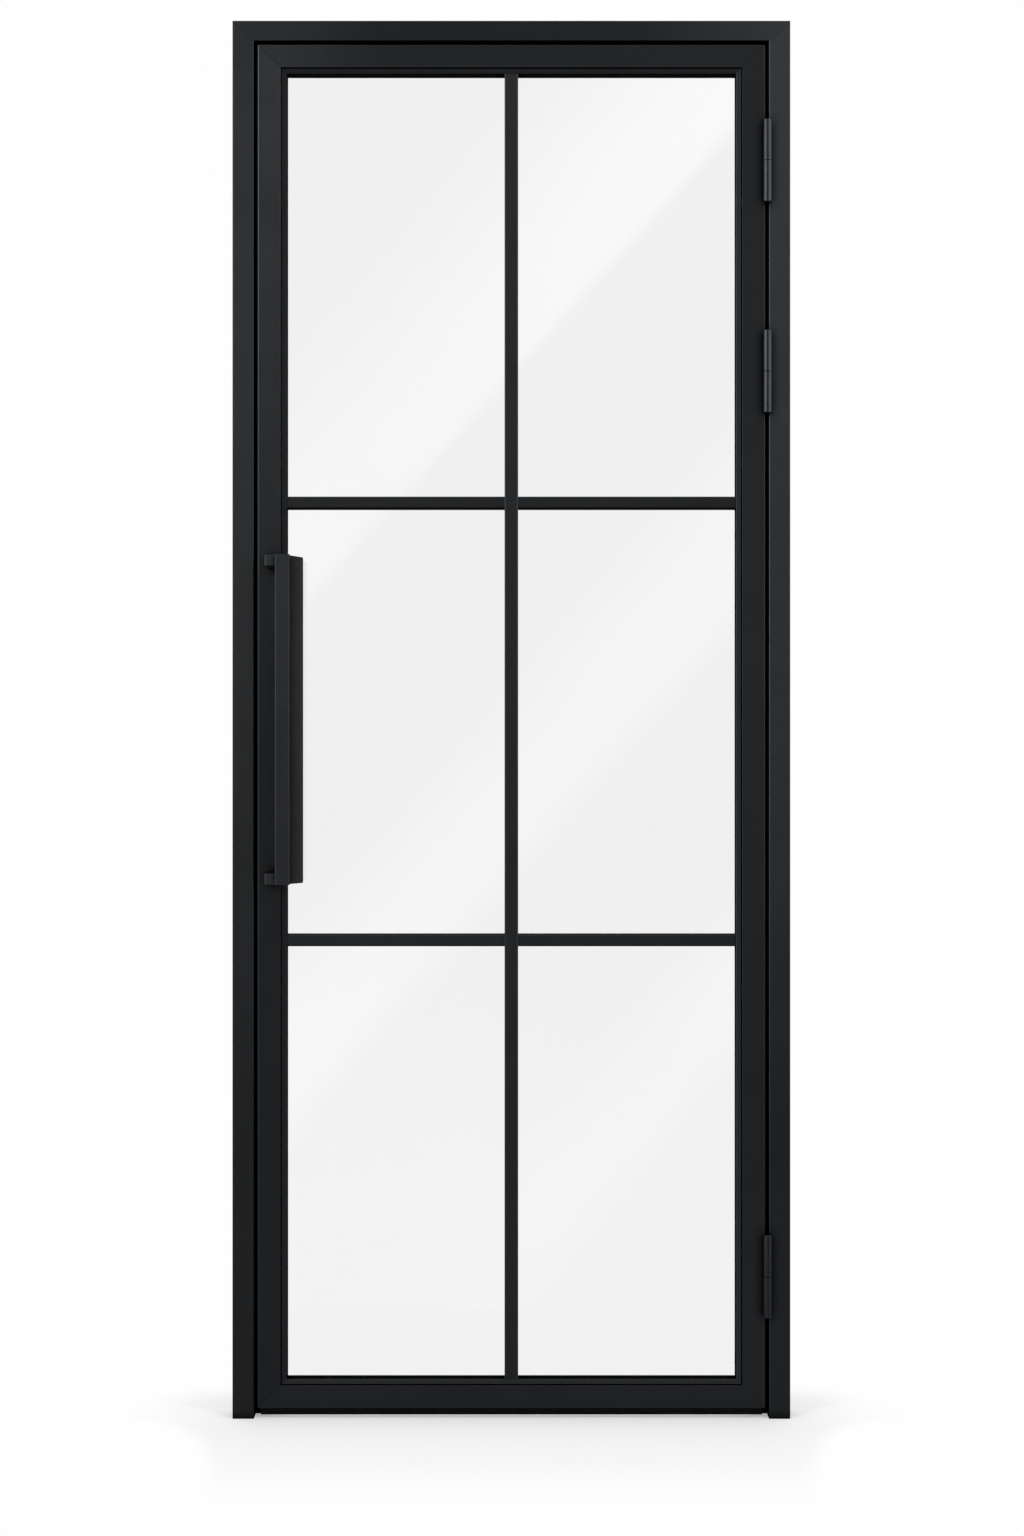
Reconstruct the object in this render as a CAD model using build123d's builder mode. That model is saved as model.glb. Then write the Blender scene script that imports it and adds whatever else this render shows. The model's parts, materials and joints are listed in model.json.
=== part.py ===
from build123d import *
from math import ceil
import os

# A hinged steel and glass door with its three-sided frame, in millimetres.
# X runs across the door, Y into the wall, Z up. The origin is on the floor, at the
# middle of the door's width and in the front plane that frame and leaf share.

# Door set
overall_width = 838.0
overall_height = 2100.0

# Frame profile: a face, and a stop behind the leaf
frame_depth = 45.0
frame_wall = 2.0
jamb_face = 32.0
head_face = 30.0
stop_reach = 24.0
stop_depth = 16.0
frame_corner_radius = 1.2

# Wall fixings, drilled through the jambs in the rebate
fixing_radius = 3.5
fixing_first_height = 100.0
fixing_pitch = 550.0
fixing_count = 4

# Leaf profile: a tube with a lip at the back that carries the glass
leaf_gap = 6.0
floor_gap = 16.0
leaf_depth = 25.0
leaf_wall = 1.5
member_face = 34.5
lip_reach = 9.0
lip_depth = 5.0
leaf_corner_radius = 1.2

# Glass and gaskets
glass_thickness = 6.0
gasket_lip = 2.0
gasket_edge = 2.5
gasket_inset = 0.5

# Glazing beads on the perimeter
bead_groove = 1.0
bead_width = 8.0
bead_setback = 1.0
bead_wall = 1.5
bead_return = 4.0
bead_chamfer = 0.8
bead_clip_length = 15.0
bead_clip_foot = 1.0
bead_clip_head = 2.0
bead_clip_neck = 1.5
bead_clip_hook = 1.0
bead_clip_spacing = 450.0

# Glazing bars: T-bars behind, covers in front
bottom_daylight = 650.0
middle_daylight = 640.0
upright_width = 20.5
crossbar_width = 18.0
crossbar_setback = 2.4
bar_web = 4.0
web_nose = 5.0
cover_wall = 1.5
clip_length = 20.0
clip_front = 1.0
clip_spacing = 400.0

# Hinges: one near the floor and a pair near the top
hinge_bottom_height = 215.5
hinge_top_drop = 212.0
hinge_pair_spacing = 316.0
knuckle_length = 61.5
knuckle_radius = 6.5
knuckle_chamfer = 0.9
knuckle_cap = 4.0
pin_radius = 3.5
pin_press_clearance = 0.02
pin_running_clearance = 0.05
washer_thickness = 1.0
washer_radius = 6.2
lug_thickness = 2.5
lug_depth = 24.0
lug_setback = 0.5

# Handle
handle_length = 488.4
handle_centre_height = 1049.0
handle_projection = 60.0
grip_left_inset = 32.1
grip_width = 21.3
grip_thickness = 10.0
grip_bevel = 1.3
wing_spread = 16.5
wing_depth = 33.0
wing_thickness = 4.5
wing_end_inset = 1.0
wing_corner_radius = 3.0
wing_root = 4.0
standoff_left_inset = 16.1
standoff_width = 17.5
standoff_height = 16.0
standoff_arm_depth = 10.0
standoff_chamfer = 0.8
standoff_inner_radius = 4.0
standoff_wing_clearance = 1.0
handle_bolt_radius = 4.0
handle_bolt_engagement = 24.0
handle_bolt_head_radius = 6.5
handle_bolt_head_height = 3.0
handle_bolt_socket_radius = 2.9
handle_bolt_socket_depth = 1.8
bolt_clearance = 0.1
spacer_radius = 6.5
grip_screw_radius = 2.5
grip_screw_head_radius = 4.5
grip_screw_head_height = 3.0
grip_screw_engagement = 6.0
blind_hole_allowance = 1.0

# Seals and catch
seal_width = 7.0
seal_clearance = 0.3
seal_inset = 1.0
seal_nose_radius = 1.8
seal_floor_clearance = 2.0
carrier_depth = 18.0
carrier_height = 6.0
carrier_wall = 1.5
carrier_end_inset = 4.0
bottom_seal_depth = 14.0
bottom_seal_floor_gap = 5.0
catch_height = 60.0
catch_width = 6.0
catch_stand_out = 1.2
catch_clearance = 0.1
magnet_height = 46.0
magnet_width = 3.6
magnet_depth = 12.0
magnet_air_gap = 0.4

# Directions
RIGHT = Vector(1, 0, 0)
INTO_WALL = Vector(0, 1, 0)
UP = Vector(0, 0, 1)

# Places that follow from the sizes above
frame_x = overall_width / 2
opening_x = frame_x - jamb_face
opening_top = overall_height - head_face
stop_front = frame_depth - stop_depth
leaf_x = opening_x - leaf_gap
leaf_top = opening_top - leaf_gap
leaf_bottom = floor_gap
inner_x = leaf_x - member_face
inner_top = leaf_top - member_face
inner_bottom = leaf_bottom + member_face
lip_x = inner_x - lip_reach
lip_front = leaf_depth - lip_depth
glass_back = lip_front - gasket_lip
glass_front = glass_back - glass_thickness
bead_back = glass_front - gasket_lip
daylight_inset = bead_groove + bead_width
daylight_x = inner_x - daylight_inset
daylight_top = inner_top - daylight_inset
daylight_bottom = inner_bottom + daylight_inset
lower_bar_z = daylight_bottom + bottom_daylight + crossbar_width / 2
upper_bar_z = lower_bar_z + crossbar_width + middle_daylight
web_front = bead_back - web_nose

pieces = {}


def keep(label, part):
    """Name a finished piece and hold it for export."""
    part.label = label
    pieces[label] = part


def profile_bar(section, corner, inward, length, start_slope=0.0, end_slope=0.0):
    """Extrude a section along one side of an opening and mitre its ends.

    The section's x points inward from the outer edge and its y into the wall. A slope
    is the mitre's rise along the bar for each unit inward, and 0 leaves the end square.
    """
    along = inward.cross(INTO_WALL)
    end = corner + along * length
    with BuildPart() as bar:
        with BuildSketch(Plane(origin=corner, x_dir=inward, z_dir=along)):
            add(section)
        extrude(amount=length)
        if start_slope:
            split(bisect_by=Plane(origin=corner, z_dir=along - inward * start_slope), keep=Keep.TOP)
        if end_slope:
            split(bisect_by=Plane(origin=end, z_dir=-along - inward * end_slope), keep=Keep.TOP)
    return bar.part


def box_between(low, high):
    """A block given by two opposite corners."""
    size = high - low
    with BuildPart() as block:
        with Locations((low + high) * 0.5):
            Box(size.X, size.Y, size.Z)
    return block.part


# Frame

def frame_section(face, reach):
    """The hollow profile: its face towards the room and its stop behind the leaf."""
    with BuildSketch() as section:
        with BuildLine():
            Polyline(
                (0, 0),
                (face, 0),
                (face, stop_front),
                (face + reach, stop_front),
                (face + reach, frame_depth),
                (0, frame_depth),
                close=True,
            )
        make_face()
        offset(amount=-frame_wall, kind=Kind.INTERSECTION, mode=Mode.SUBTRACT)
        fillet(section.vertices().sort_by(Axis.Y)[:2], frame_corner_radius)
    return section.sketch


# The head's stop is scaled with its face, so that one plane mitres the whole corner.
head_stop_reach = stop_reach * head_face / jamb_face
jamb_section = frame_section(jamb_face, stop_reach)
head_section = frame_section(head_face, head_stop_reach)
fixing_heights = [fixing_first_height + i * fixing_pitch for i in range(fixing_count)]
rebate_middle = stop_front / 2
catch_x = -(opening_x - stop_reach + frame_wall + catch_width / 2 + catch_clearance)


def jamb(side):
    """A jamb on one side, +1 right or -1 left, drilled for its wall fixings."""
    start = Vector(side * frame_x, 0, 0) if side < 0 else Vector(frame_x, 0, overall_height)
    slope = head_face / jamb_face
    slopes = (0.0, slope) if side < 0 else (slope, 0.0)
    with BuildPart() as post:
        add(profile_bar(jamb_section, start, RIGHT * -side, overall_height, *slopes))
        outer_face = Plane(origin=(side * frame_x, 0, 0), x_dir=INTO_WALL, z_dir=RIGHT * side)
        drilling = outer_face.offset(-jamb_face / 2)
        spots = [drilling.to_local_coords(Vector(side * frame_x, rebate_middle, z)) for z in fixing_heights]
        with BuildSketch(drilling):
            with Locations([(spot.X, spot.Y) for spot in spots]):
                Circle(fixing_radius)
        extrude(amount=jamb_face, both=True, mode=Mode.SUBTRACT)
    return post.part


# The left jamb also has the slot for the catch in the front wall of its stop.
with BuildPart() as jamb_left:
    add(jamb(-1))
    with Locations((catch_x, stop_front, handle_centre_height)):
        Box(
            catch_width + 2 * catch_clearance,
            frame_wall * 2,
            catch_height + 2 * catch_clearance,
            mode=Mode.SUBTRACT,
        )
keep("jamb_left", jamb_left.part)

keep("jamb_right", jamb(1))

head_start = Vector(-frame_x, 0, overall_height)
head_slope = jamb_face / head_face
keep(
    "frame_head",
    profile_bar(head_section, head_start, -UP, overall_width, head_slope, head_slope),
)

# Stop seals

def seal_section():
    """A rubber strip with a rounded nose, drawn with its back on the stop."""
    seal_height = stop_front - leaf_depth - seal_clearance
    with BuildSketch() as section:
        with Locations((seal_width / 2, stop_front - seal_height / 2)):
            Rectangle(seal_width, seal_height)
        fillet(section.vertices().sort_by(Axis.Y)[:2], seal_nose_radius)
    return section.sketch


seal_x = leaf_x - seal_inset
seal_top = leaf_top - seal_inset
seal_length = seal_top - seal_floor_clearance
stop_seal = seal_section()
keep(
    "stop_seal_left",
    profile_bar(stop_seal, Vector(-seal_x, 0, seal_floor_clearance), RIGHT, seal_length, 0.0, 1.0),
)
keep(
    "stop_seal_right",
    profile_bar(stop_seal, Vector(seal_x, 0, seal_top), -RIGHT, seal_length, 1.0, 0.0),
)
keep(
    "stop_seal_head",
    profile_bar(stop_seal, Vector(-seal_x, 0, seal_top), -UP, 2 * seal_x, 1.0, 1.0),
)

# Magnetic catch, held in the stop of the left jamb
stop_inner_back = frame_depth - frame_wall
housing_front = stop_front - catch_stand_out
with BuildPart() as catch_housing:
    add(
        box_between(
            Vector(catch_x - catch_width / 2, housing_front, handle_centre_height - catch_height / 2),
            Vector(catch_x + catch_width / 2, stop_inner_back, handle_centre_height + catch_height / 2),
        )
    )
    magnet_low = Vector(
        catch_x - magnet_width / 2, leaf_depth + magnet_air_gap, handle_centre_height - magnet_height / 2
    )
    magnet_size = Vector(magnet_width, magnet_depth, magnet_height)
    add(box_between(magnet_low, magnet_low + magnet_size), mode=Mode.SUBTRACT)
keep("catch_housing", catch_housing.part)
keep("catch_magnet", box_between(magnet_low, magnet_low + magnet_size))

# Hinges

hinge_height = 2 * knuckle_length + washer_thickness
hinge_axis_x = (leaf_x + opening_x) / 2
hinge_axis_y = -knuckle_radius
pin_length = 2 * (knuckle_length - knuckle_cap) + washer_thickness
hinge_names = ("bottom", "middle", "top")
hinge_top_height = overall_height - hinge_top_drop
hinge_heights = (hinge_bottom_height, hinge_top_height - hinge_pair_spacing, hinge_top_height)


def hinge_half(centre_z, side):
    """One half of a hinge: -1 is the leaf's, with the upper knuckle, +1 the frame's.

    Its lug lies in the gap and is welded to the side of the leaf or the jamb.
    """
    wall_x = opening_x if side > 0 else leaf_x
    lug_x = wall_x - side * lug_thickness / 2
    knuckle_up = -side
    knuckle_base = centre_z + knuckle_up * washer_thickness / 2
    bore = pin_radius + (pin_running_clearance if side < 0 else pin_press_clearance)
    with BuildPart() as half:
        with BuildSketch(Plane.XY.offset(knuckle_base)):
            with Locations((hinge_axis_x, hinge_axis_y)):
                Circle(knuckle_radius)
        extrude(amount=knuckle_up * knuckle_length)
        far_end = half.edges().sort_by(Axis.Z)[-1 if knuckle_up > 0 else 0]
        chamfer(far_end, knuckle_chamfer)
        with BuildSketch(Plane.XY.offset(knuckle_base)):
            with Locations((lug_x, (hinge_axis_y + lug_setback) / 2)):
                Rectangle(lug_thickness, lug_setback - hinge_axis_y)
        extrude(amount=knuckle_up * (knuckle_length - knuckle_chamfer))
        with Locations((lug_x, lug_setback + lug_depth / 2, centre_z)):
            Box(lug_thickness, lug_depth, hinge_height)
        with BuildSketch(Plane.XY.offset(knuckle_base)):
            with Locations((hinge_axis_x, hinge_axis_y)):
                Circle(bore)
        extrude(amount=knuckle_up * (knuckle_length - knuckle_cap), mode=Mode.SUBTRACT)
    return half.part


def hinge_pin(centre_z):
    """The pin that stands in the lower knuckle and runs in the upper one."""
    with BuildPart() as pin:
        with Locations((hinge_axis_x, hinge_axis_y, centre_z)):
            Cylinder(pin_radius, pin_length - pin_running_clearance)
    return pin.part


def hinge_washer(centre_z):
    """The bearing washer between the two knuckles."""
    with BuildPart() as washer:
        with Locations((hinge_axis_x, hinge_axis_y, centre_z)):
            Cylinder(washer_radius, washer_thickness)
            Cylinder(pin_radius + pin_running_clearance, washer_thickness, mode=Mode.SUBTRACT)
    return washer.part


for hinge_name, hinge_z in zip(hinge_names, hinge_heights):
    keep(f"hinge_{hinge_name}_leaf_half", hinge_half(hinge_z, -1))
    keep(f"hinge_{hinge_name}_frame_half", hinge_half(hinge_z, 1))
    keep(f"hinge_{hinge_name}_pin", hinge_pin(hinge_z))
keep("hinge_washers", Compound(children=[hinge_washer(z) for z in hinge_heights]))

# Leaf frame

def leaf_section():
    """The hollow tube of the leaf with its glazing lip at the back."""
    with BuildSketch() as section:
        with BuildLine():
            Polyline(
                (0, 0),
                (member_face, 0),
                (member_face, lip_front),
                (member_face + lip_reach, lip_front),
                (member_face + lip_reach, leaf_depth),
                (0, leaf_depth),
                close=True,
            )
        make_face()
        offset(amount=-leaf_wall, kind=Kind.INTERSECTION, mode=Mode.SUBTRACT)
        fillet(section.vertices().sort_by(Axis.Y)[:2], leaf_corner_radius)
    return section.sketch


def surround(section, left, right, bottom, top):
    """Four mitred bars round a rectangle, in the order left, right, top, bottom."""
    width = right - left
    height = top - bottom
    return (
        profile_bar(section, Vector(left, 0, bottom), RIGHT, height, 1.0, 1.0),
        profile_bar(section, Vector(right, 0, top), -RIGHT, height, 1.0, 1.0),
        profile_bar(section, Vector(left, 0, top), -UP, width, 1.0, 1.0),
        profile_bar(section, Vector(right, 0, bottom), UP, width, 1.0, 1.0),
    )


left_bar, right_bar, top_bar, bottom_bar = surround(
    leaf_section(), -leaf_x, leaf_x, leaf_bottom, leaf_top
)
standoff_left = -leaf_x + standoff_left_inset
standoff_x = standoff_left + standoff_width / 2
standoff_reach = handle_length / 2 - standoff_height / 2
standoff_heights = (handle_centre_height - standoff_reach, handle_centre_height + standoff_reach)

with BuildPart() as stile_left:
    add(left_bar)
    with BuildSketch(Plane.XZ):
        with Locations([(standoff_x, z) for z in standoff_heights]):
            Circle(handle_bolt_radius + bolt_clearance)
    extrude(amount=-leaf_depth, mode=Mode.SUBTRACT)
keep("stile_left", stile_left.part)

keep("stile_right", right_bar)
keep("rail_top", top_bar)
keep("rail_bottom", bottom_bar)

# Glazing bars

lip_top = inner_top - lip_reach
lip_bottom = inner_bottom + lip_reach
upright_half = upright_width / 2
web_half = bar_web / 2

with BuildPart() as upright_bar:
    with BuildSketch(Plane.YZ) as web_outline:
        with BuildLine():
            Polyline(
                (lip_front, inner_bottom),
                (bead_back, inner_bottom),
                (bead_back, daylight_bottom),
                (web_front, daylight_bottom),
                (web_front, daylight_top),
                (bead_back, daylight_top),
                (bead_back, inner_top),
                (lip_front, inner_top),
                close=True,
            )
        make_face()
    extrude(amount=web_half, both=True)
    add(
        box_between(
            Vector(-upright_half, lip_front, lip_bottom),
            Vector(upright_half, leaf_depth, lip_top),
        )
    )
keep("upright_bar", upright_bar.part)


def crossbar(side, bar_z):
    """A T-bar from the upright to one stile: its web and its rear flange."""
    with BuildPart() as bar:
        with BuildSketch(Plane.XY.offset(bar_z)):
            with BuildLine():
                Polyline(
                    (side * web_half, bead_back),
                    (side * upright_half, bead_back),
                    (side * upright_half, web_front),
                    (side * daylight_x, web_front),
                    (side * daylight_x, bead_back),
                    (side * inner_x, bead_back),
                    (side * inner_x, lip_front),
                    (side * web_half, lip_front),
                    close=True,
                )
            make_face()
        extrude(amount=web_half, both=True)
        add(
            box_between(
                Vector(min(side * upright_half, side * lip_x), lip_front, bar_z - crossbar_width / 2),
                Vector(max(side * upright_half, side * lip_x), leaf_depth, bar_z + crossbar_width / 2),
            )
        )
    return bar.part


def cover_section(width, front):
    """A channel, open to the back, centred on its bar."""
    depth = bead_back - front
    with BuildSketch() as section:
        with Locations((0, front + depth / 2)):
            Rectangle(width, depth)
        chamfer(section.vertices().sort_by(Axis.Y)[:2], bead_chamfer)
        with Locations((0, front + cover_wall + depth / 2)):
            Rectangle(width - 2 * cover_wall, depth, mode=Mode.SUBTRACT)
    return section.sketch


def clip(width):
    """A spring clip, pushed over a bar's web, that grips the inside of its cover."""
    depth = web_nose + clip_front
    with BuildSketch() as section:
        with Locations((0, bead_back - depth / 2)):
            Rectangle(width - 2 * cover_wall, depth)
        with Locations((0, bead_back - web_nose / 2)):
            Rectangle(bar_web, web_nose, mode=Mode.SUBTRACT)
    return section.sketch


def spread(low, high, spacing):
    """Places for clips, evenly spaced between two ends."""
    count = max(1, ceil((high - low) / spacing))
    step = (high - low) / count
    return [low + step * (i + 0.5) for i in range(count)]


upright_cover = profile_bar(
    cover_section(upright_width, bead_setback),
    Vector(0, 0, daylight_bottom),
    RIGHT,
    daylight_top - daylight_bottom,
)
keep("upright_cover", upright_cover)

upright_clip = clip(upright_width)
crossbar_clip = clip(crossbar_width)
clips = [
    profile_bar(upright_clip, Vector(0, 0, z - clip_length / 2), RIGHT, clip_length)
    for low, high in (
        (daylight_bottom, lower_bar_z),
        (lower_bar_z, upper_bar_z),
        (upper_bar_z, daylight_top),
    )
    for z in spread(low, high, clip_spacing)
]
crossbar_cover_section = cover_section(crossbar_width, crossbar_setback)
cover_length = daylight_x - upright_half
for row_name, bar_z in (("lower", lower_bar_z), ("upper", upper_bar_z)):
    for side_name, side in (("left", -1), ("right", 1)):
        keep(f"crossbar_{row_name}_{side_name}", crossbar(side, bar_z))
        cover_start = -daylight_x if side < 0 else upright_half
        cover = profile_bar(crossbar_cover_section, Vector(cover_start, 0, bar_z), -UP, cover_length)
        keep(f"crossbar_cover_{row_name}_{side_name}", cover)
        for x in spread(cover_start, cover_start + cover_length, clip_spacing):
            clip_start = Vector(x - clip_length / 2, 0, bar_z)
            clips.append(profile_bar(crossbar_clip, clip_start, -UP, clip_length))
keep("cover_clips", Compound(children=clips))

# Glazing beads and the clips they snap on

def bead_section():
    """A channel open towards the leaf member, with a shadow groove at its front."""
    outer = daylight_inset
    inner = outer - bead_wall
    lip = bead_groove + bead_wall
    with BuildSketch() as section:
        with BuildLine():
            Polyline(
                (bead_groove, bead_setback),
                (outer, bead_setback),
                (outer, bead_back),
                (0, bead_back),
                (0, bead_back - bead_wall),
                (inner, bead_back - bead_wall),
                (inner, bead_setback + bead_wall),
                (lip, bead_setback + bead_wall),
                (lip, bead_setback + bead_return),
                (bead_groove, bead_setback + bead_return),
                close=True,
            )
        make_face()
        chamfer(section.vertices().sort_by(Axis.Y)[:2], bead_chamfer)
    return section.sketch


bead_labels = ("bead_left", "bead_right", "bead_top", "bead_bottom")
beads = surround(bead_section(), -inner_x, inner_x, inner_bottom, inner_top)
for bead_label, bead in zip(bead_labels, beads):
    keep(bead_label, bead)


def bead_clip_section():
    """A spring clip on the leaf member, whose head hooks behind the bead's front return."""
    shank = bead_groove + bead_wall
    front = bead_setback + bead_return + bead_clip_hook / 2
    back = bead_back - bead_wall - bead_clip_hook
    hook = bead_setback + bead_return - bead_clip_hook
    with BuildSketch() as section:
        with BuildLine():
            Polyline(
                (0, front),
                (shank, front),
                (shank, hook),
                (shank + bead_clip_head, hook),
                (shank + bead_clip_head, front + bead_clip_neck),
                (bead_clip_foot, front + bead_clip_neck),
                (bead_clip_foot, back),
                (0, back),
                close=True,
            )
        make_face()
    return section.sketch


bead_clip = bead_clip_section()
half_clip = bead_clip_length / 2
bead_clips = []
for z in spread(inner_bottom, inner_top, bead_clip_spacing):
    for side in (-1, 1):
        start = Vector(side * inner_x, 0, z + side * half_clip)
        bead_clips.append(profile_bar(bead_clip, start, RIGHT * -side, bead_clip_length))
for x in spread(-inner_x, inner_x, bead_clip_spacing):
    top_start = Vector(x - half_clip, 0, inner_top)
    bottom_start = Vector(x + half_clip, 0, inner_bottom)
    bead_clips.append(profile_bar(bead_clip, top_start, -UP, bead_clip_length))
    bead_clips.append(profile_bar(bead_clip, bottom_start, UP, bead_clip_length))
keep("bead_clips", Compound(children=bead_clips))

# Panes and their gaskets

columns = (
    ("left", -inner_x, -web_half, -daylight_x, -upright_half),
    ("right", web_half, inner_x, upright_half, daylight_x),
)
rows = (
    ("bottom", inner_bottom, lower_bar_z - web_half, daylight_bottom, lower_bar_z - crossbar_width / 2),
    (
        "middle",
        lower_bar_z + web_half,
        upper_bar_z - web_half,
        lower_bar_z + crossbar_width / 2,
        upper_bar_z - crossbar_width / 2,
    ),
    ("top", upper_bar_z + web_half, inner_top, upper_bar_z + crossbar_width / 2, daylight_top),
)
for row_name, low_z, high_z, sight_low_z, sight_high_z in rows:
    for column_name, low_x, high_x, sight_low_x, sight_high_x in columns:
        pane = box_between(
            Vector(low_x + gasket_edge, glass_front, low_z + gasket_edge),
            Vector(high_x - gasket_edge, glass_back, high_z - gasket_edge),
        )
        keep(f"pane_{row_name}_{column_name}", pane)
        with BuildPart() as gasket:
            add(
                box_between(
                    Vector(low_x, bead_back, low_z),
                    Vector(high_x, lip_front, high_z),
                )
            )
            add(
                box_between(
                    Vector(sight_low_x - gasket_inset, bead_back, sight_low_z - gasket_inset),
                    Vector(sight_high_x + gasket_inset, lip_front, sight_high_z + gasket_inset),
                ),
                mode=Mode.SUBTRACT,
            )
            add(pane, mode=Mode.SUBTRACT)
        keep(f"gasket_{row_name}_{column_name}", gasket.part)

# Handle

grip_left = -leaf_x + grip_left_inset
grip_right = grip_left + grip_width
grip_back = -handle_projection + grip_thickness
handle_bottom = handle_centre_height - handle_length / 2
wing_direction = Vector(wing_spread, wing_depth, 0).normalized()
wing_normal = UP.cross(wing_direction)
wing_length = Vector(wing_spread, wing_depth, 0).length
wing_height = handle_length - 2 * wing_end_inset
grip_screw_x = (grip_left + grip_right) / 2

with BuildPart() as handle_grip:
    with BuildSketch(Plane.XY.offset(handle_bottom)) as grip_section:
        with Locations(((grip_left + grip_right) / 2, grip_back - grip_thickness / 2)):
            Rectangle(grip_width, grip_thickness)
        chamfer(grip_section.vertices().sort_by(Axis.Y)[:2], grip_bevel)
    extrude(amount=handle_length)
    wing_plane = Plane(
        origin=(grip_right, grip_back, handle_centre_height), x_dir=wing_direction, z_dir=wing_normal
    )
    with BuildSketch(wing_plane) as wing_outline:
        with Locations(((wing_length - wing_root) / 2, 0)):
            Rectangle(wing_length + wing_root, wing_height)
        fillet(wing_outline.vertices().sort_by(Axis.X)[-2:], wing_corner_radius)
    extrude(amount=wing_thickness)
    with BuildSketch(Plane.XZ.offset(-grip_back)):
        with Locations([(grip_screw_x, z) for z in standoff_heights]):
            Circle(grip_screw_radius + bolt_clearance)
    extrude(amount=grip_screw_engagement + blind_hole_allowance, mode=Mode.SUBTRACT)
keep("handle_grip", handle_grip.part)


def standoff(centre_z):
    """A post on the stile with an arm that runs behind the grip."""
    arm_back = grip_back + standoff_arm_depth
    post_right = standoff_left + standoff_width
    wing_side = grip_right - wing_thickness / wing_direction.Y
    arm_right = wing_side - standoff_wing_clearance
    with BuildPart() as post:
        with BuildSketch(Plane.XY.offset(centre_z - standoff_height / 2)) as outline:
            with BuildLine():
                Polyline(
                    (standoff_left, 0),
                    (post_right, 0),
                    (post_right, arm_back),
                    (arm_right, arm_back),
                    (arm_right, grip_back),
                    (standoff_left, grip_back),
                    close=True,
                )
            make_face()
            inner_corner = outline.vertices().sort_by_distance((post_right, arm_back, 0))[0]
            fillet(inner_corner, standoff_inner_radius)
        extrude(amount=standoff_height)
        chamfer(post.faces().sort_by(Axis.Y)[0].edges(), standoff_chamfer)
        with BuildSketch(Plane.XZ):
            with Locations((standoff_x, centre_z)):
                Circle(handle_bolt_radius + bolt_clearance)
        extrude(amount=handle_bolt_engagement + blind_hole_allowance, mode=Mode.SUBTRACT)
        with BuildSketch(Plane.XZ.offset(-grip_back)):
            with Locations((grip_screw_x, centre_z)):
                Circle(grip_screw_radius + bolt_clearance)
        extrude(amount=-standoff_arm_depth, mode=Mode.SUBTRACT)
    return post.part


def handle_bolt(centre_z):
    """A bolt from the leaf's back, through the stile, into the post."""
    with BuildPart() as bolt:
        with BuildSketch(Plane.XZ.offset(handle_bolt_engagement)):
            with Locations((standoff_x, centre_z)):
                Circle(handle_bolt_radius)
        extrude(amount=-(handle_bolt_engagement + leaf_depth))
        with BuildSketch(Plane.XZ.offset(-leaf_depth)):
            with Locations((standoff_x, centre_z)):
                Circle(handle_bolt_head_radius)
        extrude(amount=-handle_bolt_head_height)
        with BuildSketch(Plane.XZ.offset(-leaf_depth - handle_bolt_head_height)):
            with Locations((standoff_x, centre_z)):
                RegularPolygon(handle_bolt_socket_radius, 6)
        extrude(amount=handle_bolt_socket_depth, mode=Mode.SUBTRACT)
    return bolt.part


def spacer(centre_z):
    """The tube that keeps the stile from being crushed by a handle bolt."""
    with BuildPart() as tube:
        with BuildSketch(Plane.XZ.offset(-leaf_wall)):
            with Locations((standoff_x, centre_z)):
                Circle(spacer_radius)
                Circle(handle_bolt_radius + bolt_clearance, mode=Mode.SUBTRACT)
        extrude(amount=-(leaf_depth - 2 * leaf_wall))
    return tube.part


def grip_screw(centre_z):
    """A screw through the stand-off's arm into the back of the grip."""
    arm_back = grip_back + standoff_arm_depth
    with BuildPart() as screw:
        with BuildSketch(Plane.XZ.offset(-arm_back)):
            with Locations((grip_screw_x, centre_z)):
                Circle(grip_screw_radius)
        extrude(amount=standoff_arm_depth + grip_screw_engagement)
        with BuildSketch(Plane.XZ.offset(-arm_back)):
            with Locations((grip_screw_x, centre_z)):
                Circle(grip_screw_head_radius)
        extrude(amount=-grip_screw_head_height)
    return screw.part


for standoff_name, standoff_z in zip(("lower", "upper"), standoff_heights):
    keep(f"handle_standoff_{standoff_name}", standoff(standoff_z))
keep("handle_bolts", Compound(children=[handle_bolt(z) for z in standoff_heights]))
keep("handle_spacers", Compound(children=[spacer(z) for z in standoff_heights]))
keep("grip_screws", Compound(children=[grip_screw(z) for z in standoff_heights]))

# Bottom seal and its carrier

carrier_bottom = leaf_bottom - carrier_height
seal_centre_y = leaf_depth / 2
carrier_half_length = leaf_x - carrier_end_inset
with BuildPart() as seal_carrier:
    with BuildSketch(Plane.YZ.offset(-carrier_half_length)):
        with Locations((seal_centre_y, leaf_bottom - carrier_height / 2)):
            Rectangle(carrier_depth, carrier_height)
        with Locations((seal_centre_y, leaf_bottom - carrier_height / 2 - carrier_wall)):
            Rectangle(carrier_depth - 2 * carrier_wall, carrier_height, mode=Mode.SUBTRACT)
    extrude(amount=2 * carrier_half_length)
keep("bottom_seal_carrier", seal_carrier.part)

with BuildPart() as bottom_seal:
    with BuildSketch(Plane.YZ.offset(-carrier_half_length)):
        seal_top_z = leaf_bottom - carrier_wall
        with Locations((seal_centre_y, (carrier_bottom + seal_top_z) / 2)):
            Rectangle(carrier_depth - 2 * carrier_wall, seal_top_z - carrier_bottom)
        with Locations((seal_centre_y, (bottom_seal_floor_gap + carrier_bottom) / 2)):
            Rectangle(bottom_seal_depth, carrier_bottom - bottom_seal_floor_gap)
    extrude(amount=2 * carrier_half_length)
keep("bottom_seal", bottom_seal.part)

os.makedirs("parts", exist_ok=True)
for label, part in pieces.items():
    export_step(part, f"parts/{label}.step")
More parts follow.
